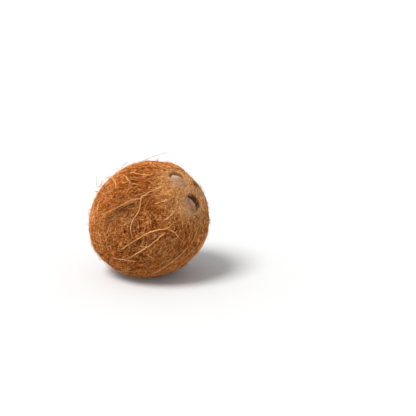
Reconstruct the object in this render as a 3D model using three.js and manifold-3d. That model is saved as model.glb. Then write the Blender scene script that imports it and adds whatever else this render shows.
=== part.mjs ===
// A ripe coconut with its outer husk stripped away: one solid nut, wrapped in what is left
// of its fibre. Millimetres, +Z up, the nut lying on the small flat spot that it settles on.
import * as THREE from 'three';
import { mergeVertices } from 'three/addons/utils/BufferGeometryUtils.js';
import Module from 'manifold-3d';

// Driving dimensions
const equatorDiameter = 112; // across the fibre coat, at its widest
const poleLength = 123; // from the stem end, where the eyes are, to the blossom end
const restSpotPress = 1.8; // how deep the fibre is pressed flat under the nut's weight

// How the nut lies: its stem end points up and off to one side
const stemAzimuth = -30; // degrees from +X towards +Y
const stemElevation = 37; // degrees above the floor
const eyeTurn = 53; // degrees about the nut's own axis

// The three sutures, where the carpels of the flower grew together
const sutureCount = 3;
const sutureHeight = 1.9; // above the faces between them, at the shoulder
const sutureSharpness = 8;
const sutureStart = 0.42; // sine of the polar angle where a suture has its full height
const sutureFadeTowardsBlossom = 0.55;
const sutureFadeStart = 0.2; // sine of how far past the widest ring, on the stem side
const faceFlatness = 0.9; // how far the faces between the sutures draw in

// Uneven growth: the blossom end is a little narrower, and broad swells (+) and flats (-) leave
// the nut not quite round. Places and spreads are degrees from the nut's middle.
const blossomTaper = 0.022; // as a share of the radius
const swells = [
  { polar: 61, azimuth: 63, height: -2.0, spread: 28 },
  { polar: 41, azimuth: 173, height: -2.3, spread: 30 },
  { polar: 140, azimuth: -88, height: 0.6, spread: 35 },
  { polar: 112, azimuth: 128, height: 0.9, spread: 38 },
];

// The three eyes, one in the middle of each carpel
const eyeRingRadius = 16; // from the stem end to an eye, along the surface
const eyeFloorRadius = 4.6;
const eyeRimRadius = 8.4;
const eyeDepths = [3.4, 2.8, 2.4];
const stemBossHeight = 0.9; // where the three sutures meet between the eyes
const stemBossRadius = 9;

// Mesh
const meridians = 68;
const rings = 58;
const stemRingShare = 0.35; // ring spacing at the stem end, beside the average
const weldDistance = 1e-4;

const fibreColour = 0xa3632f;

const degrees = Math.PI / 180;
const equatorRadius = equatorDiameter / 2;
const halfLength = poleLength / 2;

// Step from 0 at low to 1 at high, with level ends
function easedStep(low, high, value) {
  const t = Math.min(Math.max((value - low) / (high - low), 0), 1);
  return t * t * (3 - 2 * t);
}

// A direction from the nut's middle, the polar angle counted from the stem end (+Z here)
function direction(polar, azimuth) {
  return new THREE.Vector3().setFromSphericalCoords(1, polar, azimuth).applyAxisAngle(
    new THREE.Vector3(1, 0, 0),
    Math.PI / 2,
  );
}

const eyePolar = eyeRingRadius / halfLength;
const eyes = eyeDepths.map((depth, index) => ({
  depth,
  centre: direction(eyePolar, (2 * Math.PI * index) / sutureCount),
}));

const swellPlaces = swells.map(({ polar, azimuth, height, spread }) => ({
  height,
  spread: spread * degrees,
  centre: direction(polar * degrees, azimuth * degrees),
}));

// Height of all the swells and flats together, each fading away from its own centre
function unevenness(d) {
  let height = 0;
  for (const swell of swellPlaces) {
    height += swell.height * Math.exp(-((d.angleTo(swell.centre) / swell.spread) ** 2));
  }
  return height;
}

// 1 on a suture and 0 well away from it; the sutures run midway between the eyes
function sutureCrest(azimuth) {
  const wave = 0.5 - 0.5 * Math.cos(sutureCount * azimuth);
  return Math.pow(wave, sutureSharpness);
}

function nutRadius(d, polar, azimuth) {
  const sine = Math.sin(polar);
  const cosine = Math.cos(polar);
  const oval = 1 / Math.hypot(sine / equatorRadius, cosine / halfLength);
  const taper = 1 + blossomTaper * cosine * sine * sine;
  const reach = easedStep(0, sutureStart, sine);
  const fade = 1 - sutureFadeTowardsBlossom * easedStep(-sutureFadeStart, 1, -cosine);
  const suture = sutureHeight * sutureCrest(azimuth) * reach * fade;
  const face = -faceFlatness * (0.5 + 0.5 * Math.cos(sutureCount * azimuth)) * sine * sine;
  const stemArc = polar * halfLength;
  const boss = stemBossHeight * (1 - easedStep(0, stemBossRadius, stemArc));
  let radius = oval * taper + suture + face + unevenness(d) + boss;
  for (const eye of eyes) {
    const arc = d.angleTo(eye.centre) * halfLength;
    radius -= eye.depth * (1 - easedStep(eyeFloorRadius, eyeRimRadius, arc));
  }
  return radius;
}

// A sphere's rings, closed up towards the stem end, with every point moved to the nut's surface
function nutGeometry() {
  const geometry = new THREE.SphereGeometry(1, meridians, rings);
  geometry.deleteAttribute('normal');
  geometry.deleteAttribute('uv');
  const point = geometry.attributes.position;
  const d = new THREE.Vector3();
  for (let i = 0; i < point.count; i += 1) {
    const even = Math.floor(i / (meridians + 1)) / rings;
    const polar = Math.PI * (stemRingShare * even + (1 - stemRingShare) * even * even);
    const azimuth = (2 * Math.PI * ((i % (meridians + 1)) % meridians)) / meridians;
    d.copy(direction(polar, azimuth));
    d.multiplyScalar(nutRadius(d, polar, azimuth));
    point.setXYZ(i, d.x, d.y, d.z);
  }
  return mergeVertices(geometry, weldDistance);
}

// The nut's own axis (+Z) swung to where the stem end points, after a turn about that axis
function lyingRotation() {
  const turn = new THREE.Matrix4().makeRotationZ(eyeTurn * degrees);
  const tip = new THREE.Matrix4().makeRotationY((90 - stemElevation) * degrees);
  const swing = new THREE.Matrix4().makeRotationZ(stemAzimuth * degrees);
  return swing.multiply(tip).multiply(turn);
}

const wasm = await Module();
wasm.setup();

function solidFrom(geometry) {
  return new wasm.Manifold(
    new wasm.Mesh({
      numProp: 3,
      vertProperties: geometry.attributes.position.array,
      triVerts: new Uint32Array(geometry.index.array),
    }),
  );
}

function geometryFrom(solid) {
  const mesh = solid.getMesh();
  const geometry = new THREE.BufferGeometry();
  geometry.setAttribute('position', new THREE.BufferAttribute(mesh.vertProperties, 3));
  geometry.setIndex(new THREE.BufferAttribute(mesh.triVerts, 1));
  return geometry;
}

function coconutGeometry() {
  const lying = nutGeometry().applyMatrix4(lyingRotation());
  lying.computeBoundingBox();
  const floor = lying.boundingBox.min.z + restSpotPress;
  const under = new THREE.BoxGeometry(2 * poleLength, 2 * poleLength, poleLength);
  under.deleteAttribute('normal');
  under.deleteAttribute('uv');
  const block = mergeVertices(under.translate(0, 0, floor - poleLength / 2), weldDistance);
  const cut = geometryFrom(solidFrom(lying).subtract(solidFrom(block)));
  cut.computeBoundingBox();
  const middle = cut.boundingBox.getCenter(new THREE.Vector3());
  cut.translate(-middle.x, -middle.y, -floor);
  cut.computeVertexNormals();
  return cut;
}

const coconut = new THREE.Mesh(
  coconutGeometry(),
  new THREE.MeshStandardMaterial({ color: fibreColour, roughness: 0.85, metalness: 0 }),
);
coconut.name = 'coconut';

const part = new THREE.Group();
part.add(coconut);

export default part;
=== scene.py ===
# A ripe coconut, husked but still in its fibre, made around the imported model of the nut.
# Lengths on the nut are in millimetres, and become metres when a mesh is made.
import math
import bpy
import numpy as np
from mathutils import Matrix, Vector


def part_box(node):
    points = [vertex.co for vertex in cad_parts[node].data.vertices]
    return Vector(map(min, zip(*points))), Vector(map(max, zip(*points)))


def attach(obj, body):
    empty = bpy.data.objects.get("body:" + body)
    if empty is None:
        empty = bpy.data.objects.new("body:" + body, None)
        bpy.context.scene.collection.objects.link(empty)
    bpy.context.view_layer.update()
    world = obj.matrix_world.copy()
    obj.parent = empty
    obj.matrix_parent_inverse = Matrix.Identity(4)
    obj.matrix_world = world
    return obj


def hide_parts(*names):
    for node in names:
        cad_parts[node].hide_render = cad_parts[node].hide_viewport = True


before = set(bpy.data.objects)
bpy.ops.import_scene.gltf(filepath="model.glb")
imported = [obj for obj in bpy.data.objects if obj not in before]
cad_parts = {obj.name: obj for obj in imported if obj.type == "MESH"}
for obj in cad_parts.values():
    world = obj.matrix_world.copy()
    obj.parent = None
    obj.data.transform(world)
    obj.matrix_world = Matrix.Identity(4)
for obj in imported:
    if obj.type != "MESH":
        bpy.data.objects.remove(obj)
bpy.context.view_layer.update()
nutLow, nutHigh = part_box("coconut")
mm = 0.001
print("frame loaded, nut sides", [round(v / mm, 1) for v in nutHigh - nutLow])

camera = {
    "lens": 100,
    "elevation": 16,  # degrees above the floor, looking along +Y
    "distance": 1.133,
    "right": 0.0579,  # where the camera stands from the line through the nut's middle
    "up": 0.0106,
}


def placeCamera():
    rise = math.radians(camera["elevation"])
    back = Vector((0, -math.cos(rise), math.sin(rise)))
    upward = Vector((0, math.sin(rise), math.cos(rise)))
    data = bpy.data.cameras.new("studioCamera")
    data.lens = camera["lens"]
    data.sensor_width = 36
    data.clip_start = 0.05
    thing = bpy.data.objects.new("studioCamera", data)
    aside = Vector((camera["right"], 0, 0)) + upward * camera["up"]
    thing.location = (nutLow + nutHigh) / 2 + back * camera["distance"] + aside
    thing.rotation_euler = (math.radians(90 - camera["elevation"]), 0, 0)
    bpy.context.collection.objects.link(thing)
    bpy.context.scene.camera = thing


placeCamera()
print("camera placed")

# The nut's own shape, as the CAD model has it, with its stem end along +Z
nut = {
    "equatorRadius": 56.0,
    "halfLength": 61.5,
    "meanRadius": 58.0,
    "stemAzimuth": -30,  # where the stem end points, degrees from +X towards +Y
    "stemElevation": 37,
    "eyeTurn": 53,
    "blossomTaper": 0.022,
    "sutureHeight": 1.9,
    "sutureSharpness": 8,
    "sutureStart": 0.42,
    "sutureFade": 0.55,
    "sutureFadeStart": 0.2,
    "faceFlatness": 0.9,
    "bossHeight": 0.9,
    "bossRadius": 9,
}
swells = [  # polar, azimuth, height, spread: broad rises and flats that leave it not quite round
    (61, 63, -2.0, 28),
    (41, 173, -2.3, 30),
    (140, -88, 0.6, 35),
    (112, 128, 0.9, 38),
]
sutures = (60, 180, -60)  # azimuths of the three seams, midway between the eyes


def easedStep(low, high, value):
    t = np.clip((value - low) / (high - low), 0, 1)
    return t * t * (3 - 2 * t)


def towards(polar, azimuth):  # a direction from the nut's middle, polar counted from the stem end
    p = np.radians(polar)
    a = np.radians(azimuth)
    return np.stack([np.sin(p) * np.sin(a), -np.sin(p) * np.cos(a), np.cos(p)], -1)


def polarOf(d):
    return np.degrees(np.arccos(np.clip(d[..., 2], -1, 1)))


def azimuthOf(d):
    return np.degrees(np.arctan2(d[..., 0], -d[..., 1]))


def apart(d, centre):
    return np.degrees(np.arccos(np.clip(d @ centre, -1, 1)))


def onSphere(d):
    return d / np.linalg.norm(d, axis=-1, keepdims=True)


def nutRadius(d):
    sine = np.sqrt(np.maximum(1 - d[..., 2] ** 2, 0))
    cosine = d[..., 2]
    wave = 0.5 - 0.5 * np.cos(len(sutures) * np.radians(azimuthOf(d)))
    radius = 1 / np.hypot(sine / nut["equatorRadius"], cosine / nut["halfLength"])
    radius = radius * (1 + nut["blossomTaper"] * cosine * sine * sine)
    fade = 1 - nut["sutureFade"] * easedStep(-nut["sutureFadeStart"], 1, -cosine)
    reach = easedStep(0, nut["sutureStart"], sine)
    radius = radius + nut["sutureHeight"] * wave ** nut["sutureSharpness"] * reach * fade
    radius = radius - nut["faceFlatness"] * (1 - wave) * sine * sine
    stemArc = np.radians(polarOf(d)) * nut["halfLength"]
    radius = radius + nut["bossHeight"] * (1 - easedStep(0, nut["bossRadius"], stemArc))
    for polar, azimuth, height, spread in swells:
        radius = radius + height * np.exp(-((apart(d, towards(polar, azimuth)) / spread) ** 2))
    return radius


def turnAbout(axis, angle):
    c, s = math.cos(math.radians(angle)), math.sin(math.radians(angle))
    if axis == "z":
        return np.array([[c, -s, 0], [s, c, 0], [0, 0, 1]])
    return np.array([[c, 0, s], [0, 1, 0], [-s, 0, c]])


lie = turnAbout("z", nut["stemAzimuth"]) @ turnAbout("y", 90 - nut["stemElevation"])
lie = lie @ turnAbout("z", nut["eyeTurn"])


def nutMiddle():  # from how the nut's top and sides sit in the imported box
    polar, azimuth = np.meshgrid(np.linspace(0, 180, 181), np.arange(0, 360, 2))
    d = towards(polar.ravel(), azimuth.ravel())
    skin = (d * nutRadius(d)[:, None]) @ lie.T
    low, high = np.array(nutLow) / mm, np.array(nutHigh) / mm
    place = (low + high) / 2 - (skin.min(0) + skin.max(0)) / 2
    place[2] = high[2] - skin[:, 2].max()
    return place


middle = nutMiddle()
print("nut middle", middle.round(2))


def softNoise(points, size, seed):  # smooth, from -1 to 1, with a swell about every size mm
    cells = 16
    lattice = np.random.default_rng(seed).uniform(-1, 1, (cells, cells, cells))
    q = points / size
    cell = np.floor(q).astype(int)
    t = q - cell
    t = t * t * (3 - 2 * t)
    value = np.zeros(points.shape[:-1])
    for corner in range(8):
        step = np.array([corner & 1, corner >> 1 & 1, corner >> 2 & 1])
        share = np.prod(np.where(step == 1, t, 1 - t), -1)
        i, j, k = np.moveaxis((cell + step) % cells, -1, 0)
        value += share * lattice[i, j, k]
    return value


def skinNoise(d, size, seed):
    return softNoise(d * nut["meanRadius"], size, seed)


eye = {
    "ring": 16,  # from the stem end to an eye, along the skin
    "wall": 0.8,  # how far the pit's side runs where it is low
    "leastDepth": 0.1,
    "rimHeight": 0.35,
    "rimWidth": 1.4,
    "rimGap": 0.9,
    "padDome": 0.35,
    "lap": 1.8,  # how far fibre lies over an eye's low side
    "bareLedge": 0.62,  # how much of the ledge under the high wall fibre keeps off
    "lobes": [(3, 0.3), (7, 0.2)],  # how many and how far they leave the edge uneven
}
# highWall and longWay: where an eye's high side and its length are, in degrees round the eye
# from the way to the stem end
# stain: how dark the foot of an eye's high wall is painted, partly a dark stain and partly painted shade
# under the wall
eyes = [
    {
        "radius": 7.9, "oval": 1.9, "longWay": 90, "depth": 3.4, "highWall": -38, "ledge": 3.0,
        "pale": 0.7, "stainAndShade": 1.0,
    },
    {
        "radius": 7.4, "oval": 0.5, "longWay": 60, "depth": 2.4, "highWall": -80, "ledge": 1.8,
        "pale": 0.3, "stainAndShade": 0.7,
    },
    {
        "radius": 7.8, "oval": 2.0, "longWay": 118, "depth": 1.8, "highWall": 126, "ledge": 1.0,
        "pale": 1.0, "stainAndShade": 0.7,
    },
]
for number, one in enumerate(eyes):
    one["centre"] = towards(math.degrees(eye["ring"] / nut["halfLength"]), 120 * number)
    one["inward"] = onSphere(np.array([0, 0, 1]) - one["centre"] * one["centre"][2])
    one["side"] = np.cross(one["centre"], one["inward"])


def placeInEye(one, d):  # mm outside an eye's pad, and how far towards its high wall, -1 to 1
    away = np.radians(apart(d, one["centre"])) * nut["halfLength"] - one["radius"]
    x, y = d @ one["inward"], d @ one["side"]
    turn = np.arctan2(y, x)
    away = away - one["oval"] * np.cos(turn - math.radians(one["longWay"])) ** 2
    (few, broad), (many, slight) = eye["lobes"]
    away = away + broad * np.sin(few * turn + one["depth"]) + slight * np.sin(many * turn)
    facing = np.cos(turn - math.radians(one["highWall"]))
    return away, facing * np.clip(1 + away / one["radius"], 0, 1)


def wallRun(one, side):
    return eye["wall"] + one["ledge"] * np.clip(side, 0, 1)


def eyeRelief(d):  # height of the skin over the plain nut, in and around the eyes
    height = np.zeros(d.shape[:-1])
    for one in eyes:
        away, side = placeInEye(one, d)
        wall = wallRun(one, side)
        inside = 1 - easedStep(0, 1, away / wall)
        floor = eye["leastDepth"] + one["depth"] * easedStep(-0.7, 1.0, side)
        dome = eye["padDome"] * (1 - np.clip(1 + away / one["radius"], 0, 1) ** 2)
        rim = np.exp(-(((away - wall - eye["rimGap"]) / eye["rimWidth"]) ** 2))
        height -= inside * (floor - dome)
        height += eye["rimHeight"] * rim * np.clip(0.3 + side, 0, 1)
    return height


def nearestEye(d):
    return np.min([placeInEye(one, d)[0] for one in eyes], 0)


def eyeLap(d):  # as nearestEye, but fibre laps over a pad's low side and stops short of its high wall
    laps = []
    for one in eyes:
        away, side = placeInEye(one, d)
        lap = eye["lap"] * np.clip(0.2 - 1.5 * side, 0, 1)
        laps.append(away + lap - eye["bareLedge"] * one["ledge"] * np.clip(side, 0, 1))
    return np.min(laps, 0)


goldZone = {  # in degrees from the stem end
    "edge": 28,
    "softness": 8,
    "ragged": 5,
    "leans": [(30, -30, 7, 24), (34, -100, 8, 22)],  # polar, azimuth, how far out, spread
}


def goldShare(d):  # 1 on the smooth golden skin round the eyes, 0 out on the rust-brown felt
    edge = polarOf(d) + goldZone["ragged"] * (skinNoise(d, 9, 11) + 0.7 * skinNoise(d, 3.5, 12))
    for polar, azimuth, stretch, spread in goldZone["leans"]:
        edge = edge - stretch * np.exp(-((apart(d, towards(polar, azimuth)) / spread) ** 2))
    return 1 - easedStep(-goldZone["softness"], goldZone["softness"], edge - goldZone["edge"])


def rowPoints(d, height):  # points at a height over the plain nut, where the nut lies
    radius = nutRadius(d) + eyeRelief(d) + height
    return middle + (d * radius[..., None]) @ lie.T


def newMaterial(name, roughness, specular):
    material = bpy.data.materials.new(name)
    material.use_nodes = True
    shader = material.node_tree.nodes["Principled BSDF"]
    shader.inputs["Roughness"].default_value = roughness
    shader.inputs["Specular IOR Level"].default_value = specular
    return material, material.node_tree, shader


def ramp(tree, factor, stops):
    node = tree.nodes.new("ShaderNodeValToRGB")
    points = node.color_ramp.elements
    while len(points) < len(stops):
        points.new(0.5)
    for point, (place, colour) in zip(points, stops):
        point.position = place
        point.color = (*colour, 1)
    tree.links.new(factor, node.inputs["Fac"])
    return node.outputs["Color"]


def mixColours(tree, factor, first, second):
    node = tree.nodes.new("ShaderNodeMix")
    node.data_type = "RGBA"
    tree.links.new(factor, node.inputs["Factor"])
    for socket, value in ((node.inputs[6], first), (node.inputs[7], second)):
        if isinstance(value, tuple):
            socket.default_value = (*value, 1)
        else:
            tree.links.new(value, socket)
    return node.outputs[2]


coir = {  # strand colours from the darkest to the palest, for three tones of fibre
    "rust": [
        (0.0, (0.012, 0.003, 0.0006)),
        (0.3, (0.136, 0.0255, 0.0020)),
        (0.6, (0.45, 0.099, 0.0078)),
        (0.85, (0.78, 0.27, 0.042)),
        (1.0, (0.92, 0.53, 0.20)),
    ],
    "gold": [
        (0.0, (0.035, 0.010, 0.002)),
        (0.3, (0.22, 0.068, 0.012)),
        (0.6, (0.60, 0.235, 0.060)),
        (0.85, (0.86, 0.44, 0.165)),
        (1.0, (0.95, 0.66, 0.37)),
    ],
    "grey": [
        (0.0, (0.015, 0.008, 0.004)),
        (0.3, (0.13, 0.054, 0.019)),
        (0.6, (0.37, 0.178, 0.076)),
        (0.85, (0.66, 0.40, 0.200)),
        (1.0, (0.74, 0.55, 0.34)),
    ],
    "roughness": 0.75,
    "specular": 0.08,
}


def coirFinish():  # the map's width is how light a strand is, its height is rust, gold, then grey
    material, tree, shader = newMaterial("coirStrand", coir["roughness"], coir["specular"])
    strand = tree.nodes.new("ShaderNodeUVMap")
    strand.uv_map = "OFBake"
    split = tree.nodes.new("ShaderNodeSeparateXYZ")
    tree.links.new(strand.outputs["UV"], split.inputs["Vector"])
    shades = [ramp(tree, split.outputs["X"], coir[tone]) for tone in ("rust", "gold", "grey")]
    toGold = ramp(tree, split.outputs["Y"], [(0.0, (0, 0, 0)), (0.5, (1, 1, 1))])
    toGrey = ramp(tree, split.outputs["Y"], [(0.5, (0, 0, 0)), (1.0, (1, 1, 1))])
    warm = mixColours(tree, toGold, shades[0], shades[1])
    colour = mixColours(tree, toGrey, warm, shades[2])
    tree.links.new(colour, shader.inputs["Base Color"])
    return material


coirStrand = coirFinish()


def addPiece(name, mesh, finish):
    mesh.shade_smooth()
    mesh.materials.append(finish)
    piece = bpy.data.objects.new(name, mesh)
    bpy.context.collection.objects.link(piece)
    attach(piece, "root")
    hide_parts("coconut")
    return piece


def strandMap(shades, tones, sides):  # each face's own small place on the colour map
    count, rings = shades.shape
    u = np.clip(shades + 0.0012 * np.arange(rings), 0.01, 0.985)[:, :, None]
    v = np.clip(tones, 0.02, 0.97)[:, None, None]
    s = np.arange(sides)
    width = 0.012 / sides
    here = np.broadcast_to(u[:, :-1], (count, rings - 1, sides))
    after = np.broadcast_to(u[:, 1:], (count, rings - 1, sides))
    low = np.broadcast_to(v + s * width, (count, rings - 1, sides))
    quads = [(here, low), (here, low + width), (after, low + width), (after, low)]
    parts = [np.stack([np.stack(corner, -1) for corner in quads], 3).ravel()]
    angle = 2 * np.pi * s / sides
    spread = 0.004 * np.stack([np.cos(angle), np.sin(angle)], -1)
    for end in (u[:, 0], u[:, -1]):
        cap = np.stack([end + spread[:, 0], v[:, 0] + spread[:, 1] + 0.006], -1)
        parts.append(cap.ravel())
    return np.concatenate(parts)


# One mesh from many paths: centres and radii in mm, a shade at each point, a tone for each path
def strandMesh(name, centres, radii, sides, shades, tones):
    count, rings = centres.shape[:2]
    centres[..., 2] = np.maximum(centres[..., 2], radii + 0.05)
    along = np.gradient(centres, axis=1)
    along /= np.maximum(np.linalg.norm(along, axis=2, keepdims=True), 1e-9)
    out = centres - middle
    out -= along * (out * along).sum(2, keepdims=True)
    out /= np.maximum(np.linalg.norm(out, axis=2, keepdims=True), 1e-9)
    side = np.cross(along, out)
    angle = 2 * np.pi * np.arange(sides) / sides
    ring = np.cos(angle)[:, None] * out[:, :, None] + np.sin(angle)[:, None] * side[:, :, None]
    points = centres[:, :, None] + radii[:, :, None, None] * ring

    first = (np.arange(count * rings) * sides).reshape(count, rings)
    here, after = first[:, :-1, None], first[:, 1:, None]
    s = np.arange(sides)
    t = (s + 1) % sides
    quads = np.stack([here + s, here + t, after + t, after + s], -1).reshape(-1, 4)
    ends = np.concatenate([first[:, :1] + s[::-1], first[:, -1:] + s])
    corners = np.concatenate([quads.ravel(), ends.ravel()])
    totals = np.concatenate([np.full(len(quads), 4), np.full(len(ends), sides)])
    starts = np.concatenate([[0], np.cumsum(totals)[:-1]])

    mesh = bpy.data.meshes.new(name)
    mesh.vertices.add(count * rings * sides)
    mesh.vertices.foreach_set("co", (points * mm).astype(np.float32).ravel())
    mesh.loops.add(len(corners))
    mesh.loops.foreach_set("vertex_index", corners.astype(np.int32))
    mesh.polygons.add(len(totals))
    mesh.polygons.foreach_set("loop_start", starts.astype(np.int32))
    mesh.polygons.foreach_set("loop_total", totals.astype(np.int32))
    layer = mesh.uv_layers.new(name="OFBake")
    layer.data.foreach_set("uv", strandMap(shades, tones, sides).astype(np.float32))
    mesh.update(calc_edges=True)
    return addPiece(name, mesh, coirStrand)


def seedsOn(rng, count, sector=0, sectors=1):  # evenly spread over one sector of the nut
    z = rng.uniform(-1, 1, count)
    azimuth = 360 / sectors * (sector + rng.uniform(-0.02, 1.02, count))
    return towards(np.degrees(np.arccos(z)), azimuth)


# Walks each strand over the nut. Heading is degrees from the way to the blossom end, curl is
# degrees for each mm walked, and wander is how unsteady the walk is.
def growStrands(rng, start, heading, length, steps, curl, wander):
    down = np.stack([start[:, 0] * start[:, 2], start[:, 1] * start[:, 2], start[:, 2] ** 2 - 1], -1)
    down /= np.maximum(np.linalg.norm(down, axis=1, keepdims=True), 1e-6)
    turn = np.radians(heading)[:, None]
    way = down * np.cos(turn) + np.cross(start, down) * np.sin(turn)
    step = (length / steps / nut["meanRadius"])[:, None]
    bend = np.radians(rng.normal(0, curl, len(start)) * length / steps)
    loose = np.radians(wander) * np.sqrt(length / steps)
    path = [start]
    d = start
    for _ in range(steps):
        d, way = d * np.cos(step) + way * np.sin(step), way * np.cos(step) - d * np.sin(step)
        d = onSphere(d)
        now = (bend + rng.normal(0, 1, len(start)) * loose)[:, None]
        way = way * np.cos(now) + np.cross(d, way) * np.sin(now)
        path.append(d)
    return np.stack(path, 1)


def eitherWay(rng, spread, count):  # headings along the nut's length, to one end or the other
    return rng.normal(0, 1, count) * spread + 180 * rng.integers(0, 2, count)


def thinEnds(steps, least):  # a strand's thickness along it, from its middle to its ends
    along = np.linspace(0, 1, steps + 1)
    return least + (1 - least) * np.sin(np.pi * (0.06 + 0.88 * along)) ** 0.5


feltPlaces = {  # polar, azimuth and reach in degrees of each kind of patch
    "torn": [
        (72, -60, 17), (58, -44, 13), (86, -33, 16), (60, -33, 10), (100, -50, 14), (47, -66, 9),
        (112, 0, 20), (75, 100, 20), (100, 160, 18), (60, -150, 10), (105, -105, 12), (128, 60, 20),
        (120, -165, 14),
    ],
    "combed": [
        (62, 12, 16), (48, -105, 24), (72, -98, 17), (50, 130, 22), (85, -150, 20), (95, 60, 14),
        (150, 150, 22), (90, 180, 12), (60, -72, 7), (75, -74, 7),
    ],
    "worn": [(64, -12, 12), (88, 128, 9), (125, 110, 8), (112, -140, 8)],
    "rusty": [(85, 15, 30), (50, -110, 20), (110, 170, 25)],
    # light patches: the felt and golden skin are lighter there, partly painted light as on the lower-left
    # flank, partly paler skin and fibre
    "light": [(105, -68, 18), (34, -34, 13), (75, 150, 14)],
}


def inPatches(d, kind):
    value = np.zeros(d.shape[:-1])
    for polar, azimuth, reach in feltPlaces[kind]:
        value = value + np.exp(-((apart(d, towards(polar, azimuth)) / reach) ** 2))
    return value


feltOpen = {"plain": 0.28, "drift": 0.25, "torn": 0.75, "combed": 0.8, "worn": 0.5, "least": 0.05}


def openness(d):  # 0 where the felt is combed down and fine, 1 where it is torn open and curly
    value = feltOpen["plain"] + feltOpen["drift"] * skinNoise(d, 13, 33)
    value = value + feltOpen["torn"] * inPatches(d, "torn") - feltOpen["combed"] * inPatches(d, "combed")
    return np.clip(value - feltOpen["worn"] * inPatches(d, "worn"), feltOpen["least"], 1)


def combing(d):
    return np.clip(inPatches(d, "combed"), 0, 1)


def wornness(d):  # 1 where the felt is rubbed down to a smooth skin
    return np.clip(1.2 * inPatches(d, "worn"), 0, 1)


seamShadow = {"polar": 72, "length": 26, "azimuth": -70, "width": 6}
blossomSpread = 11


def greyShadedBand(d):  # the greyer fibre just under the front seam, darkened there as painted shadow of the seam
    band = np.exp(-(((polarOf(d) - seamShadow["polar"]) / seamShadow["length"]) ** 2))
    return band * np.exp(-(((azimuthOf(d) - seamShadow["azimuth"]) / seamShadow["width"]) ** 2))


def blossomDark(d):  # the darker fibre drawn together at the blossom end
    return np.exp(-(((180 - polarOf(d)) / blossomSpread) ** 2))


mostTone = 0.93  # a tone is 0 for rust, 0.5 for gold and 1 for grey, and stops short of plain grey
feltTone = {
    "plain": 0.10, "mottle": 0.08, "drift": 0.10, "gold": 0.3, "greyShadedBand": 0.55, "worn": 0.25,
    "rusty": -0.1, "chance": 0.05,
}
feltShade = {  # how much lighter or darker a strand is in each kind of place
    "gold": 0.10, "open": -0.05, "drift": 0.05, "blossom": -0.2, "light": 0.07, "greyShadedBand": -0.4,
    "combed": -0.09, "fibreChance": 0.15, "wornCalm": 0.65, "combedCalm": 0.25, "speckLift": 0.34,
}
speckle = {"fine": 1.15, "fineSize": 0.65, "coarse": 0.1, "coarseSize": 2.4}


def fibreTone(rng, d):
    tone = feltTone["plain"] + feltTone["mottle"] * skinNoise(d, 11, 21)
    tone = tone + feltTone["drift"] * skinNoise(d, 26, 22) + feltTone["gold"] * goldShare(d)
    tone = tone + feltTone["greyShadedBand"] * greyShadedBand(d) + feltTone["worn"] * wornness(d)
    tone = tone + feltTone["rusty"] * inPatches(d, "rusty")
    return np.clip(tone + rng.normal(0, feltTone["chance"], len(d)), 0, mostTone)


def placeShade(d):
    shade = feltShade["gold"] * goldShare(d) + feltShade["open"] * openness(d)
    shade = shade + feltShade["drift"] * skinNoise(d, 17, 35)
    # the light patches lift the shade, partly as painted light
    shade = shade + feltShade["blossom"] * blossomDark(d) + feltShade["light"] * inPatches(d, "light")
    # the band under the front seam is darkened as painted shadow of the seam
    return shade + feltShade["greyShadedBand"] * greyShadedBand(d) + feltShade["combed"] * combing(d)


def specks(d):  # light and dark specks a millimetre or so across
    fine = speckle["fine"] * skinNoise(d, speckle["fineSize"], 31)
    return fine + speckle["coarse"] * skinNoise(d, speckle["coarseSize"], 32)


feltLayers = {  # strands grow in locks of a few fibres that share a path and a shade
    "feltMat": {
        "sectors": 8, "locks": 6000, "fibres": 1, "lockWidth": 0, "length": (2.5, 7.5),
        "radius": (0.12, 0.20), "height": (-0.55, -0.05), "arch": 0.3, "spread": 24,
        "curl": 5, "wander": 8, "shade": 0.48, "contrast": 0.11, "specks": 0.48, "steps": 5,
        "clear": 1.2,  # how far it keeps off an eye
    },
    "feltCurl": {
        "sectors": 8, "locks": 1250, "fibres": 3, "lockWidth": 0.26, "length": (4, 12),
        "radius": (0.10, 0.17), "height": (-0.15, 0.3), "arch": 0.7, "spread": 20,
        "curl": 7, "wander": 9, "shade": 0.62, "contrast": 0.10, "specks": 0.40, "steps": 7,
        "clear": 1.2,
    },
}


feltEdge = {"bare": 1.2, "full": 3.5, "goldBare": 0.85, "sparse": 0.1, "goldFlat": 0.35, "goldThin": 0.35}


def feltCover(d):  # none on the eyes, little on the golden skin
    fromEyes = easedStep(feltEdge["bare"], feltEdge["full"], nearestEye(d))
    return fromEyes * (1 - feltEdge["goldBare"] * goldShare(d))


def frayed(rng, path, fibres, width):  # a lock of fibres that part in the middle
    rings = path.shape[1]
    along = np.linspace(0, 1, rings)
    many = np.repeat(path, fibres, 0)
    side = np.cross(many, np.gradient(many, axis=1))
    side /= np.maximum(np.linalg.norm(side, axis=2, keepdims=True), 1e-9)
    offset = rng.uniform(-width, width, len(many))[:, None] * (0.35 + 0.65 * np.sin(np.pi * along))
    offset = offset + rng.normal(0, 0.12 * width, (len(many), rings))
    return onSphere(many + side * offset[:, :, None] / nut["meanRadius"])


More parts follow.
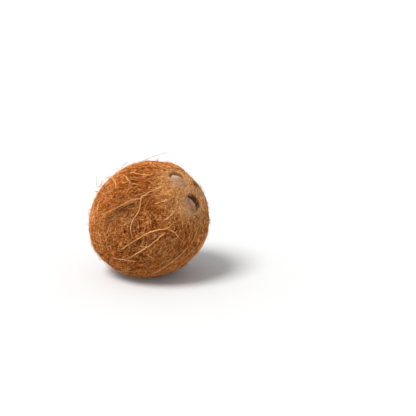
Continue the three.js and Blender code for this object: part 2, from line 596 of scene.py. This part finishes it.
def layFelt(layer, recipe, sector, seed):
    rng = np.random.default_rng(seed)
    fibres, steps = recipe["fibres"], recipe["steps"]
    along = np.linspace(0, 1, steps + 1)
    d = seedsOn(rng, recipe["locks"], sector, recipe["sectors"])
    d = d[rng.random(len(d)) < feltEdge["sparse"] + feltCover(d)]
    loose = openness(d)
    length = rng.uniform(*recipe["length"], len(d)) * (1.3 - 0.5 * loose)
    spread = recipe["spread"] * (0.35 + 2.4 * loose)
    heading = eitherWay(rng, spread, len(d)) + 20 * skinNoise(d, 14, 34)
    curl = recipe["curl"] * (0.3 + 2 * loose)
    path = growStrands(rng, d, heading, length, steps, curl, recipe["wander"])
    path = path[(eyeLap(path) > recipe["clear"]).all(1)]
    centre = path[:, steps // 2]
    base = rng.uniform(*recipe["height"], len(path))
    arch = recipe["arch"] * (0.3 + openness(centre)) * rng.uniform(0, 1, len(path)) ** 2
    shade = recipe["shade"] + rng.normal(0, recipe["contrast"], len(path))
    shade = shade + placeShade(centre)
    calm = 1 - feltShade["wornCalm"] * wornness(centre)
    tone = fibreTone(rng, centre)
    thin = 1 - feltEdge["goldThin"] * goldShare(centre)

    base, arch, shade, calm, tone, thin = (
        np.repeat(v, fibres) for v in (base, arch, shade, calm, tone, thin)
    )
    many = frayed(rng, path, fibres, recipe["lockWidth"])
    count = len(many)
    speck = specks(many) * calm[:, None] * (1 - feltShade["combedCalm"] * combing(many))
    height = (base + rng.uniform(-0.12, 0.12, count))[:, None]
    # the dark specks also lie lower in the felt, so part of their darkness is painted shade in its hollows
    height = height + (arch * calm)[:, None] * np.sin(np.pi * along) + feltShade["speckLift"] * speck
    height *= np.where(goldShare(many) > 0.5, feltEdge["goldFlat"], 1)
    radius = (rng.uniform(*recipe["radius"], count) * thin)[:, None] * thinEnds(steps, 0.35)
    shades = shade + rng.normal(0, feltShade["fibreChance"], count)
    shades = shades[:, None] + recipe["specks"] * speck
    strandMesh(f"{layer}{sector + 1}", rowPoints(many, height), radius, 3, shades, tone)


shell = {
    "meridians": 360,
    "rings": 268,
    "stemShare": 0.36,  # ring spacing at the stem end, beside the average
    "sink": 0.9,  # how far under the felt's outside the matted ground lies
    "ridge": 0.3,
    "ridgeGrain": (58, 58, 9),  # fine round the nut, long along it
    "goldGrain": 0.16,
    "pitGrain": 0.14,
    "roughness": 0.8,
    "specular": 0.15,
    "bump": 0.4,
    "bumpStrength": 0.6,
    "haloReach": 6,  # how far the paler skin runs out from an eye
    "halo": 0.8,
    "haloTurn": 0.4,  # how much more of it there is on an eye's low side
    "padReach": 0.6,
    "padSoft": 1.5,
    "padSoftLow": 3.4,  # a pad's low edge fades into the skin
    "stainAndShadeFoot": (-1.4, 0.5),  # where the dark under the high wall, partly stain and partly painted shade, begins and is full
    "stainAndShadeTop": 1.2,
    # ground: the matted fibre under the felt, its dark brown partly the fibre's own and partly painted
    # shade of the gaps between strands
    "ground": [(0.3, (0.035, 0.009, 0.001)), (0.7, (0.24, 0.065, 0.008))],
    "skin": [(0.25, (0.20, 0.07, 0.012)), (0.5, (0.46, 0.185, 0.036)), (0.75, (0.66, 0.33, 0.09))],
    "haloSkin": [(0.25, (0.27, 0.13, 0.050)), (0.5, (0.50, 0.28, 0.125)), (0.75, (0.68, 0.45, 0.24))],
    "dullPad": [(0.3, (0.20, 0.100, 0.058)), (0.7, (0.43, 0.250, 0.160))],
    "palePad": [(0.3, (0.38, 0.235, 0.155)), (0.7, (0.68, 0.49, 0.36))],
    # the dark at the foot of an eye's high wall: a brown stain with the pit's shade painted into it
    "stainAndShade": (0.070, 0.024, 0.008),
}


def shellFinish():
    material, tree, shader = newMaterial("mattedShell", shell["roughness"], shell["specular"])
    where = tree.nodes.new("ShaderNodeTexCoord").outputs["Object"]

    def share(name):
        node = tree.nodes.new("ShaderNodeAttribute")
        node.attribute_name = name
        return node.outputs["Fac"]

    def grain(size, detail, distortion):
        node = tree.nodes.new("ShaderNodeTexNoise")
        node.inputs["Scale"].default_value = 1 / (size * mm)
        node.inputs["Detail"].default_value = detail
        node.inputs["Distortion"].default_value = distortion
        tree.links.new(where, node.inputs["Vector"])
        return node.outputs["Fac"]

    fine, mottle = grain(0.9, 4, 0.6), grain(2.0, 6, 1.8)
    # the ground colour under the felt carries painted shade of the gaps between strands
    colour = mixColours(
        tree, share("gold"), ramp(tree, fine, shell["ground"]), ramp(tree, fine, shell["skin"])
    )
    colour = mixColours(tree, share("halo"), colour, ramp(tree, fine, shell["haloSkin"]))
    dull, pale = ramp(tree, mottle, shell["dullPad"]), ramp(tree, mottle, shell["palePad"])
    colour = mixColours(tree, share("pad"), colour, mixColours(tree, share("pale"), dull, pale))
    # paints the dark at the foot of each high wall, stain and painted shade together
    colour = mixColours(tree, share("stainAndShade"), colour, shell["stainAndShade"])
    tree.links.new(colour, shader.inputs["Base Color"])
    bump = tree.nodes.new("ShaderNodeBump")
    bump.inputs["Strength"].default_value = shell["bumpStrength"]
    bump.inputs["Distance"].default_value = shell["bump"] * mm
    tree.links.new(fine, bump.inputs["Height"])
    tree.links.new(bump.outputs["Normal"], shader.inputs["Normal"])
    return material


def eyeShares(d, rough):  # how much of the pad, stain with painted shade, halo and pale colours the skin takes
    shares = {name: np.zeros(len(d)) for name in ("pad", "stainAndShade", "halo", "pale")}
    for one in eyes:
        away, side = placeInEye(one, d)
        wall = wallRun(one, side)
        soft = shell["padSoft"] + shell["padSoftLow"] * np.clip(-side, 0, 1)
        edge = shell["padReach"]
        pad = 1 - easedStep(edge - soft, edge, away + (0.3 + 0.4 * soft) * rough)
        foot = easedStep(*shell["stainAndShadeFoot"], away + 0.6 * rough)
        top = 1 - easedStep(0.5 * wall, wall + shell["stainAndShadeTop"], away + 0.5 * rough)
        # stain and painted shade at the foot of the high wall, stronger towards the high side
        stainAndShade = one["stainAndShade"] * foot * top * easedStep(0.0, 0.75, side)
        halo = np.exp(-((np.maximum(away, 0) / shell["haloReach"]) ** 2)) * (0.75 + 0.3 * rough)
        halo = halo * (shell["halo"] - shell["haloTurn"] * np.clip(side, -1, 1))
        shares["pad"] = np.maximum(shares["pad"], pad)
        shares["stainAndShade"] = np.maximum(shares["stainAndShade"], stainAndShade)
        shares["halo"] = np.maximum(shares["halo"], np.clip(halo, 0, 1))
        shares["pale"] += np.where(away < 2, one["pale"], 0)
    return shares


def shellMap(even):  # once round the nut across, stem end to blossom end up
    meridians, rings = shell["meridians"], shell["rings"]
    w = 1 / meridians
    column = np.arange(meridians) * w
    u = np.tile(column, rings - 2)
    v, after = np.repeat(even[:-1], meridians), np.repeat(even[1:], meridians)
    quads = np.stack([u, v, u, after, u + w, after, u + w, v], -1)
    top, first, last = 0 * column, 0 * column + even[0], 0 * column + even[-1]
    stemFan = np.stack([column + w / 2, top, column, first, column + w, first], -1)
    endFan = np.stack([column + w / 2, top + 1, column + w, last, column, last], -1)
    return np.concatenate([quads.ravel(), stemFan.ravel(), endFan.ravel()])


def makeShell():
    rings, meridians = shell["rings"], shell["meridians"]
    even = np.arange(1, rings) / rings
    polar = 180 * (shell["stemShare"] * even + (1 - shell["stemShare"]) * even**2)
    azimuth = 360 * np.arange(meridians) / meridians
    d = towards(*np.meshgrid(polar, azimuth, indexing="ij")).reshape(-1, 3)
    d = np.concatenate([d, [[0, 0, 1.0], [0, 0, -1.0]]])

    gold = goldShare(d)
    drawn = d * np.array(shell["ridgeGrain"])
    ridges = softNoise(drawn, 1.1, 41) + 0.6 * softNoise(drawn, 0.6, 42)
    rough = skinNoise(d, 0.8, 43) + 0.7 * skinNoise(d, 1.9, 44)
    inPit = 1 - easedStep(-0.4, 1.5, nearestEye(d))
    height = shell["ridge"] * ridges * (1 - inPit) - shell["sink"] * (1 - np.maximum(gold, inPit))
    height += shell["goldGrain"] * rough * gold * (1 - inPit) + shell["pitGrain"] * rough * inPit
    points = rowPoints(d, height)
    points[:, 2] = np.maximum(points[:, 2], 0.05 + 0.02 * rough)

    index = np.arange((rings - 1) * meridians).reshape(rings - 1, meridians)
    beside = np.roll(index, -1, 1)
    quads = np.stack([index[:-1], index[1:], beside[1:], beside[:-1]], -1).reshape(-1, 4)
    stemFan = np.stack([np.full(meridians, len(d) - 2), index[0], beside[0]], -1)
    endFan = np.stack([np.full(meridians, len(d) - 1), beside[-1], index[-1]], -1)
    mesh = bpy.data.meshes.new("nutShell")
    faces = quads.tolist() + stemFan.tolist() + endFan.tolist()
    mesh.from_pydata((points * mm).tolist(), [], faces)
    layer = mesh.uv_layers.new(name="OFBake")
    layer.data.foreach_set("uv", shellMap(even).astype(np.float32))
    for name, values in {"gold": gold, **eyeShares(d, rough)}.items():
        attribute = mesh.attributes.new(name, "FLOAT", "POINT")
        attribute.data.foreach_set("value", values.astype(np.float32))
    mesh.update()
    addPiece("nutShell", mesh, shellFinish())
    print("shell made,", len(faces), "faces")


makeShell()

for layerNumber, (layer, recipe) in enumerate(feltLayers.items()):
    for sector in range(recipe["sectors"]):
        layFelt(layer, recipe, sector, 100 + 10 * layerNumber + sector)
    print("laid", layer)

eyeDown = {  # fine short fibre that lies over the golden skin and laps onto the eyes
    "strands": 6000, "reach": 46, "length": (2.5, 7), "radius": (0.09, 0.16), "height": (-0.05, 0.3),
    "curl": 8, "wander": 11, "shade": 0.72, "contrast": 0.24, "specks": 0.52, "steps": 5,
    "clear": 0.1, "ragged": 1.3,  # where it stops short of an eye, and how unevenly
    "sparse": 0.1, "arch": 0.35, "taper": 0.6, "light": 0.09, "halo": 0.11, "haloReach": 5,
    "tone": 0.24, "toneNear": 0.24, "nearReach": 10, "toneHalo": 0.3, "toneRusty": 0.06, "toneChance": 0.1,
}


def layEyeDown():
    rng = np.random.default_rng(300)
    polar = eyeDown["reach"] * np.sqrt(rng.random(eyeDown["strands"]))
    d = towards(polar, rng.uniform(-180, 180, len(polar)))
    d = d[rng.random(len(d)) < goldShare(d) + eyeDown["sparse"]]
    length = rng.uniform(*eyeDown["length"], len(d))
    heading = rng.uniform(-180, 180, len(d))
    steps = eyeDown["steps"]
    path = growStrands(rng, d, heading, length, steps, eyeDown["curl"], eyeDown["wander"])
    lapping = eyeDown["clear"] - eyeDown["ragged"] * rng.random(len(path)) ** 2
    path = path[(eyeLap(path) > lapping[:, None]).all(1)]
    count = len(path)
    along = np.linspace(0, 1, steps + 1)
    height = rng.uniform(*eyeDown["height"], count)[:, None]
    height = height + rng.uniform(0, eyeDown["arch"], count)[:, None] * np.sin(np.pi * along)
    radius = rng.uniform(*eyeDown["radius"], count)[:, None] * (1 - eyeDown["taper"] * along)
    middles = path[:, 3]
    away = np.maximum(nearestEye(middles), 0)
    halo = np.exp(-away / eyeDown["haloReach"])
    # the light patches lift the shade here too, partly as painted light
    shade = eyeDown["shade"] + eyeDown["halo"] * halo + eyeDown["light"] * inPatches(middles, "light")
    shade = shade + rng.normal(0, eyeDown["contrast"], count)
    shades = shade[:, None] + eyeDown["specks"] * specks(path)
    tones = eyeDown["tone"] + eyeDown["toneNear"] * np.exp(-away / eyeDown["nearReach"])
    tones = tones + eyeDown["toneHalo"] * halo - eyeDown["toneRusty"] * inPatches(middles, "rusty")
    tones = np.clip(tones + rng.normal(0, eyeDown["toneChance"], count), 0.05, mostTone)
    strandMesh("eyeDown", rowPoints(path, height), radius, 3, shades, tones)


padDown = {
    "strands": 300, "reach": 1.15, "length": (2, 6), "radius": (0.05, 0.10), "curl": 9, "wander": 12,
    "height": (0.0, 0.12), "arch": 0.3, "shade": 0.66, "contrast": 0.14, "tone": 0.88,
    "toneChance": 0.08, "lowSide": 0.3, "steps": 6,
}


def layPadDown():  # fine pale fibre on the eyes' own pads
    rng = np.random.default_rng(310)
    starts = []
    for one in eyes:
        turn = rng.uniform(0, 2 * np.pi, padDown["strands"])
        reach = padDown["reach"] * one["radius"] * np.sqrt(rng.random(padDown["strands"]))
        reach = reach / nut["halfLength"]
        offset = np.cos(turn)[:, None] * one["inward"] + np.sin(turn)[:, None] * one["side"]
        starts.append(onSphere(one["centre"] + offset * reach[:, None]))
    d = np.concatenate(starts)
    highSides = [placeInEye(one, d)[1] * (apart(d, one["centre"]) < 10) for one in eyes]
    d = d[np.max(highSides, 0) < padDown["lowSide"]]
    count = len(d)
    steps = padDown["steps"]
    along = np.linspace(0, 1, steps + 1)
    length = rng.uniform(*padDown["length"], count)
    heading = rng.uniform(-180, 180, count)
    path = growStrands(rng, d, heading, length, steps, padDown["curl"], padDown["wander"])
    height = rng.uniform(*padDown["height"], count)[:, None] + padDown["arch"] * np.sin(np.pi * along)
    radius = rng.uniform(*padDown["radius"], count)[:, None] * thinEnds(steps, 0.4)
    shades = rng.normal(padDown["shade"], padDown["contrast"], count)[:, None] + 0.05 * along
    tones = np.clip(rng.normal(padDown["tone"], padDown["toneChance"], count), 0, mostTone)
    strandMesh("padDown", rowPoints(path, height), radius, 3, shades, tones)


layEyeDown()
layPadDown()
print("eyes covered")

longStrands = {  # left by the husk: (polar, azimuth) along each one
    "seamStrand": [
        (115, -84), (84, -76), (62, -75), (52, -73), (54, -66), (59, -59), (67, -55), (74, -48), (78, -39),
    ],
    "seamFork": [(26, -86), (36, -80), (47, -76), (52, -73)],
    "frontStrand": [(38, -23), (47, -25), (59, -35), (79, -38), (99, -39)],
    "lowStrand": [(50, -22), (60, -24), (78, -26), (101, -27)],
    "footStrand": [(118, -37), (103, -28), (94, -19)],
    "eyeStrand": [(43, -59), (34, -57), (26, -55)],
    "crownStrand": [(62, -115), (50, -109), (40, -107)],
    "crownFork": [(70, -116), (63, -105), (59, -96)],
    "shoulderLoop": [(85, -123), (84, -118), (76, -105), (76, -98)],
    "faceStrand": [(47, -25), (46, -12), (48, -2)],
    "faceSplinter": [(79, -21), (79, -16), (79, -10)],
    "flankStrand": [(34, 27), (42, 24), (52, 20), (64, 13), (77, 9), (91, 7), (109, 9)],
    "rimStrand": [(38, 56), (51, 58), (62, 55), (72, 50), (78, 35)],
    "cheekStrand": [(32, -32), (38, -34), (42, -33)],
    "backSeam": [(30, 176), (50, 181), (72, 178), (95, 183), (120, 180)],
    "backFork": [(72, 178), (84, 170), (97, 160), (112, 156)],
    "backCross": [(62, 140), (70, 150), (76, 162), (79, 172)],
    "sideSeam": [(44, 66), (58, 61), (74, 59), (92, 62), (116, 60)],
    "sideFork": [(74, 59), (83, 68), (93, 75), (105, 88), (118, 92)],
    "sideSplinter": [(88, 100), (92, 110), (90, 121)],
    "backLoop": [(100, 200), (92, 208), (84, 210), (78, 204), (80, 194)],
    "backSweep": [(60, 220), (78, 214), (98, 210), (118, 214), (136, 210)],
    "blossomRun": [(168, 60), (150, 100), (132, 118), (110, 124), (90, 126)],
    "blossomBend": [(170, -140), (155, -120), (138, -112), (120, -118)],
    "blossomFork": [(166, 160), (150, 172), (130, 184), (108, 190)],
    "underStrand": [(120, 20), (132, 32), (146, 40), (160, 30)],
}
husk = {
    "radius": 0.24, "height": 1.05, "heightChange": 0.25, "fibres": 7, "fray": 0.32, "sides": 4,
    "steps": 40, "bends": 16, "wander": 0.32, "fibreBends": 9, "sag": (0.1, 0.5),
    "dive": 1.5, "diveRate": 24,  # how deep and how fast the ends go into the felt
    "fibreSize": (0.35, 0.7), "tint": 0.87, "fibreTint": (0.5, 0.85), "tone": 0.42, "toneChance": 0.12,
}


def alongRoute(route, steps):  # a smooth run of directions through a strand's places
    knots = towards(*np.array(route, float).T)
    knots = np.concatenate([[2 * knots[0] - knots[1]], knots, [2 * knots[-1] - knots[-2]]])
    place = np.linspace(0, len(route) - 1, steps + 1)
    i = np.minimum(place.astype(int), len(route) - 2)
    t = (place - i)[:, None]
    a, b, c, d = knots[i], knots[i + 1], knots[i + 2], knots[i + 3]
    bend = (2 * a - 5 * b + 4 * c - d) * t**2 + (3 * b - a - 3 * c + d) * t**3
    return onSphere(b + 0.5 * ((c - a) * t + bend))


def sway(rng, along, knots, amount):  # a smooth wander of each of the three axes
    places = np.linspace(0, 1, knots)
    moves = [np.interp(along, places, rng.normal(0, amount, knots)) for _ in range(3)]
    return np.stack(moves, -1) / nut["meanRadius"]


def layLongStrands():
    rng = np.random.default_rng(400)
    paths, heights, radii, shades = [], [], [], []
    steps = husk["steps"]
    along = np.linspace(0, 1, steps + 1)
    for route in longStrands.values():
        core = alongRoute(route, steps) + sway(rng, along, husk["bends"], husk["wander"])
        rise = husk["height"] + husk["heightChange"] * np.sin(5 * along + rng.uniform(0, 6))
        for fibre in range(husk["fibres"]):
            first = fibre == 0
            fray = 0 if first else husk["fray"]
            paths.append(onSphere(core + sway(rng, along, husk["fibreBends"], fray)))
            lift = rise - rng.uniform(*husk["sag"]) * (not first)
            ends = np.exp(-along * husk["diveRate"]) + np.exp(-(1 - along) * husk["diveRate"])
            heights.append(lift - husk["dive"] * ends)
            size = husk["radius"] * (1 if first else rng.uniform(*husk["fibreSize"]))
            size = size * (1 + 0.25 * np.sin(11 * along + rng.uniform(0, 6)))
            radii.append(size * (0.3 + 0.7 * np.sin(np.pi * (0.05 + 0.9 * along)) ** 0.6))
            tint = husk["tint"] if first else rng.uniform(*husk["fibreTint"])
            shades.append(tint + 0.07 * np.sin(13 * along + rng.uniform(0, 6)))
    centres = rowPoints(np.array(paths), np.array(heights))
    tones = np.clip(rng.normal(husk["tone"], husk["toneChance"], len(paths)), 0, 0.9)
    strandMesh("huskStrands", centres, np.array(radii), husk["sides"], np.array(shades), tones)


looseFibre = {  # single fibres, longer than the felt's, all over and thick along the seams
    "strands": 1250, "spread": 20.0, "length": (8, 32), "radius": (0.10, 0.18), "steps": 16,
    "curl": 1.2, "wander": 5, "clear": 1, "height": 0.2, "wave": 0.35, "shade": 0.72,
    "contrast": 0.17, "blossom": 0.25, "band": 0.4, "tone": 0.25, "toneChance": 0.12, "toneBand": 0.3,
}
seamFibre = {"strands": 110, "polar": (35, 160), "width": 6, "spread": 7.0}
bandFibre = {"strands": 130, "polar": (45, 100), "azimuth": -71, "width": 5, "spread": 6.0}


def layLooseFibre():
    rng = np.random.default_rng(410)
    starts = [seedsOn(rng, looseFibre["strands"])]
    spreads = [np.full(looseFibre["strands"], looseFibre["spread"])]
    for suture in sutures:
        count = seamFibre["strands"]
        azimuth = suture + rng.normal(0, seamFibre["width"], count)
        starts.append(towards(rng.uniform(*seamFibre["polar"], count), azimuth))
        spreads.append(np.full(count, seamFibre["spread"]))
    count = bandFibre["strands"]
    polar = rng.uniform(*bandFibre["polar"], count)
    starts.append(towards(polar, bandFibre["azimuth"] + rng.normal(0, bandFibre["width"], count)))
    spreads.append(np.full(count, bandFibre["spread"]))
    d, spread = np.concatenate(starts), np.concatenate(spreads)
    length = rng.uniform(*looseFibre["length"], len(d))
    steps = looseFibre["steps"]
    heading = eitherWay(rng, spread, len(d))
    path = growStrands(rng, d, heading, length, steps, looseFibre["curl"], looseFibre["wander"])
    path = path[(nearestEye(path) > looseFibre["clear"]).all(1)]
    count = len(path)
    along = np.linspace(0, 1, steps + 1)
    wave = np.sin(6 * along + rng.uniform(0, 6, count)[:, None])
    height = looseFibre["height"] + looseFibre["wave"] * wave
    radius = rng.uniform(*looseFibre["radius"], count)[:, None] * thinEnds(steps, 0.4)
    shade = rng.normal(looseFibre["shade"], looseFibre["contrast"], count)
    middles = path[:, steps // 2]
    # loose fibre in the band under the front seam is darkened too, as painted seam shadow
    shade = shade - looseFibre["blossom"] * blossomDark(middles) - looseFibre["band"] * greyShadedBand(middles)
    shades = shade[:, None] + 0.05 * np.sin(9 * along)
    tones = rng.normal(looseFibre["tone"], looseFibre["toneChance"], count)
    tones = np.clip(tones + looseFibre["toneBand"] * greyShadedBand(middles), 0, mostTone)
    strandMesh("looseFibre", rowPoints(path, height), radius, 3, shades, tones)


layLongStrands()
layLooseFibre()
print("long strands laid")

fuzz = {  # single hairs that stand off the felt
    "hairs": 4800, "length": (2, 7), "radius": (0.09, 0.16), "lift": (5, 62), "steps": 5,
    "curl": 8, "wander": 9, "clear": 0.8, "cover": 0.45, "clumps": 0.9, "sparse": 0.04, "droop": (0.2, 0.9),
    "shade": 0.58, "contrast": 0.18, "tone": 0.36, "toneChance": 0.2, "offFloor": 0.2,
}


def growFuzz():
    rng = np.random.default_rng(500)
    d = seedsOn(rng, fuzz["hairs"])
    cover = feltCover(d) * (fuzz["cover"] + fuzz["clumps"] * skinNoise(d, 7, 36))
    d = d[rng.random(len(d)) < cover + fuzz["sparse"]]
    count = len(d)
    length = rng.uniform(*fuzz["length"], count) * rng.uniform(0.6, 1.4, count)
    lift = np.radians(rng.uniform(*fuzz["lift"], count))
    heading = rng.uniform(-180, 180, count)
    reach, steps = length * np.cos(lift), fuzz["steps"]
    path = growStrands(rng, d, heading, reach, steps, fuzz["curl"], fuzz["wander"])
    keep = (nearestEye(path) > fuzz["clear"]).all(1)
    path, rise, count = path[keep], (length * np.sin(lift))[keep, None], keep.sum()
    along = np.linspace(0, 1, steps + 1)
    height = 0.1 + rise * (along - 0.5 * rng.uniform(*fuzz["droop"], count)[:, None] * along**2)
    radius = rng.uniform(*fuzz["radius"], count)[:, None] * (1 - 0.6 * along)
    shades = rng.normal(fuzz["shade"], fuzz["contrast"], count)[:, None] + 0.1 * along
    tones = np.clip(rng.normal(fuzz["tone"], fuzz["toneChance"], count), 0, mostTone)
    centres = rowPoints(path, height)
    keep = centres[..., 2].min(1) > fuzz["offFloor"]
    strandMesh("fuzz", centres[keep], radius[keep], 3, shades[keep], tones[keep])


tufts = {  # small fans of stiff fibre
    "count": 380, "fibres": 4, "length": (2, 7), "radius": (0.15, 0.26), "fan": 30,
    "lift": (8, 62), "liftChance": 12, "curl": 10, "wander": 8, "clear": 4, "root": -0.2, "droop": 0.25,
    "shade": 0.48, "contrast": 0.15, "blossomShade": 0.2, "tipShade": 0.14, "tone": 0.36,
    "toneChance": 0.2, "offFloor": 0.3, "steps": 5, "blossomCount": 46, "blossomReach": 6,
}


def growTufts():
    rng = np.random.default_rng(520)
    root = seedsOn(rng, tufts["count"])
    root = root[(rng.random(len(root)) < feltCover(root)) & (nearestEye(root) > tufts["clear"])]
    polar = 180 - tufts["blossomReach"] * np.sqrt(rng.random(tufts["blossomCount"]))
    knot = towards(polar, rng.uniform(-180, 180, len(polar)))
    root = np.concatenate([root, knot])  # the old flower's knot at the blossom end
    fibres, steps = tufts["fibres"], tufts["steps"]
    d = np.repeat(root, fibres, 0)
    count = len(d)
    heading = np.repeat(rng.uniform(-180, 180, len(root)), fibres) + rng.normal(0, tufts["fan"], count)
    lift = np.repeat(rng.uniform(*tufts["lift"], len(root)), fibres)
    lift = np.radians(np.clip(lift + rng.normal(0, tufts["liftChance"], count), 8, 85))
    length = rng.uniform(*tufts["length"], count)
    reach = length * np.cos(lift)
    path = growStrands(rng, d, heading, reach, steps, tufts["curl"], tufts["wander"])
    along = np.linspace(0, 1, steps + 1)
    rise = (length * np.sin(lift))[:, None] * (along - tufts["droop"] * along**2)
    radius = rng.uniform(*tufts["radius"], count)[:, None] * (1 - 0.55 * along)
    shade = rng.normal(tufts["shade"], tufts["contrast"], count) - tufts["blossomShade"] * blossomDark(d)
    shades = shade[:, None] + tufts["tipShade"] * along
    tones = np.clip(rng.normal(tufts["tone"], tufts["toneChance"], count), 0, mostTone)
    centres = rowPoints(path, tufts["root"] + rise)
    keep = centres[..., 2].min(1) > tufts["offFloor"]
    strandMesh("tufts", centres[keep], radius[keep], 3, shades[keep], tones[keep])


strayHairs = {  # (polar, azimuth, height over the felt) along each one
    "topWisp": [
        (75, -149, 0), (68, -154, 1), (62, -159, 3.6), (57, -163, 6.3), (53, -168, 8.7),
        (50, -172, 10.5),
    ],
    "topLoop": [
        (85, -141, 0.7), (84, -142, 2.1), (81, -144, 3.9), (79, -146, 4.2), (78, -146, 2.9),
        (79, -146, 0.8),
    ],
    "sideWisp": [
        (107, -126, 2.6), (109, -125, 4.2), (108, -126, 6.8), (105, -128, 10.1), (103, -130, 11.9),
    ],
    "footWisp": [
        (147, -43, 0), (146, -36, 0.5), (145, -26, 1.8), (143, -19, 3.1), (141, -14, 3.6), (140, -9, 2.8),
    ],
    "edgeArc": [(107, -127, 2.8), (104, -129, 4), (100, -131, 3.2), (97, -133, 2)],
    "edgeBow": [(100, -132, 4), (97, -134, 1.4), (92, -137, 0)],
    "spikeLow": [(129, -106, 1), (130, -105, 2), (130, -104, 2.9)],
    "spikeMiddle": [(127, -109, 1.8), (127, -109, 3.5), (127, -109, 5.3)],
    "spikeHigh": [(110, -124, 3.2), (110, -124.5, 4), (110, -125, 4.7)],
}
stray = {"radius": 0.2, "shade": 0.5, "tone": 0.6, "steps": 24}


def layStrayHairs():
    paths, heights = [], []
    along = np.linspace(0, 1, stray["steps"] + 1)
    for route in strayHairs.values():
        places = np.array(route, float)
        paths.append(alongRoute(places[:, :2], stray["steps"]))
        heights.append(np.interp(along, np.linspace(0, 1, len(route)), places[:, 2]))
    count = len(paths)
    radius = stray["radius"] * np.ones((count, 1)) * (1 - 0.5 * along)
    shades = stray["shade"] + 0.1 * np.arange(count)[:, None] / count + 0.05 * along
    centres = rowPoints(np.array(paths), np.array(heights))
    strandMesh("strayHairs", centres, radius, 4, shades, np.full(count, stray["tone"]))


growFuzz()
growTufts()
layStrayHairs()
print("fuzz grown")

studio = {
    "floorSize": 60,
    "floorColour": (0.64, 0.64, 0.64),
    "floorGlow": 0.03,
    "horizon": 1.0,  # the world's brightness low down, then higher up on the left and right
    "left": 0.95,
    "right": 0.3,
    "domeStart": (0.16, 0.3),  # how high the sides take over from the horizon
    "key": {"from": (-0.5, -0.4, 1.0), "softness": 25, "strength": 3.4},
}


def layFloor():
    mesh = bpy.data.meshes.new("paleFloor")
    half = studio["floorSize"] / 2
    corners = [(-half, -half, 0), (half, -half, 0), (half, half, 0), (-half, half, 0)]
    mesh.from_pydata(corners, [], [(0, 1, 2, 3)])
    material, _, shader = newMaterial("paleFloor", 0.9, 0.1)
    shader.inputs["Base Color"].default_value = (*studio["floorColour"], 1)
    shader.inputs["Emission Color"].default_value = (1, 1, 1, 1)
    shader.inputs["Emission Strength"].default_value = studio["floorGlow"]
    mesh.materials.append(material)
    floor = bpy.data.objects.new("paleFloor", mesh)
    bpy.context.collection.objects.link(floor)


def lightStudio():
    world = bpy.data.worlds.new("paleStudio")
    bpy.context.scene.world = world
    world.use_nodes = True
    tree = world.node_tree
    where = tree.nodes.new("ShaderNodeTexCoord")
    split = tree.nodes.new("ShaderNodeSeparateXYZ")
    tree.links.new(where.outputs["Generated"], split.inputs["Vector"])
    side = tree.nodes.new("ShaderNodeMath")
    side.operation = "MULTIPLY_ADD"
    side.inputs[1].default_value = 0.5
    side.inputs[2].default_value = 0.5
    tree.links.new(split.outputs["X"], side.inputs[0])
    dome = ramp(tree, side.outputs[0], [(0.0, 3 * (studio["left"],)), (1.0, 3 * (studio["right"],))])
    low, high = studio["domeStart"]
    raised = ramp(tree, split.outputs["Z"], [(low, (0, 0, 0)), (high, (1, 1, 1))])
    sky = mixColours(tree, raised, 3 * (studio["horizon"],), dome)
    tree.links.new(sky, tree.nodes["Background"].inputs["Color"])

    key = studio["key"]
    data = bpy.data.lights.new("keyLight", "SUN")
    data.angle = math.radians(key["softness"])
    data.energy = key["strength"]
    thing = bpy.data.objects.new("keyLight", data)
    thing.rotation_euler = Vector(key["from"]).to_track_quat("Z", "Y").to_euler()
    bpy.context.collection.objects.link(thing)
    bpy.context.scene.view_settings.view_transform = "Standard"


layFloor()
lightStudio()
print("studio lit")
